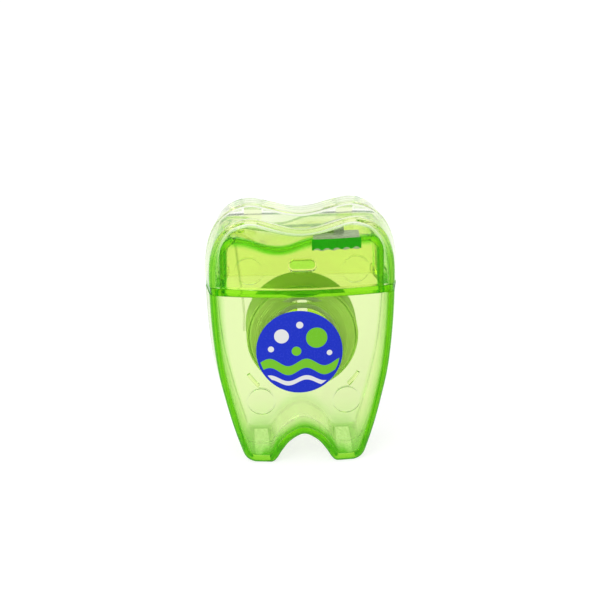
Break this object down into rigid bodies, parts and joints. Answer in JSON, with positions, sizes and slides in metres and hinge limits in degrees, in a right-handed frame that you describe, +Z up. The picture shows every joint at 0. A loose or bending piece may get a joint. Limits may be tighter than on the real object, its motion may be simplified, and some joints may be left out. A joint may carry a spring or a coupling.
{
  "type": "dental floss dispenser",
  "caption": "Tooth-shaped box of clear green plastic that holds a turning spool of floss under a flip-up lid with a steel thread cutter.",
  "frame": {"origin": "midway between the root ends, on the surface that the box stands on, at mid-depth", "axes": "+Z up, front face towards -Y, exit hole of the floss on the -X side"},
  "size_m": [0.0378, 0.0191, 0.0513],
  "materials": {
    "case_plastic": "clear, polished mould",
    "lid_plastic": "clear, polished mould",
    "neck_plastic": "clear, polished mould",
    "cutter_steel": "stamped sheet",
    "core_plastic": "moulded",
    "floss": "waxed thread",
    "label_film": "printed film"
  },
  "bodies": {
    "case": {"front_shell": "case_plastic", "back_shell": "case_plastic", "neck": "neck_plastic", "cutter": "cutter_steel", "floss_strand": "floss", "front_label": "label_film"},
    "lid": {"lid": "lid_plastic"},
    "spool": {"spool_core": "core_plastic", "floss_pack": "floss", "floss_turns": "floss"}
  },
  "joints": [
    {"name": "lid_hinge", "type": "hinge", "parent": "case", "child": "lid", "pos_m": [0, 0.0082, 0.0478], "axis": [-1, 0, 0], "range_deg": [0, 110]},
    {"name": "spool_turn", "type": "hinge", "parent": "case", "child": "spool", "pos_m": [0, 0, 0.02512], "axis": [0, 1, 0], "continuous": true}
  ]
}
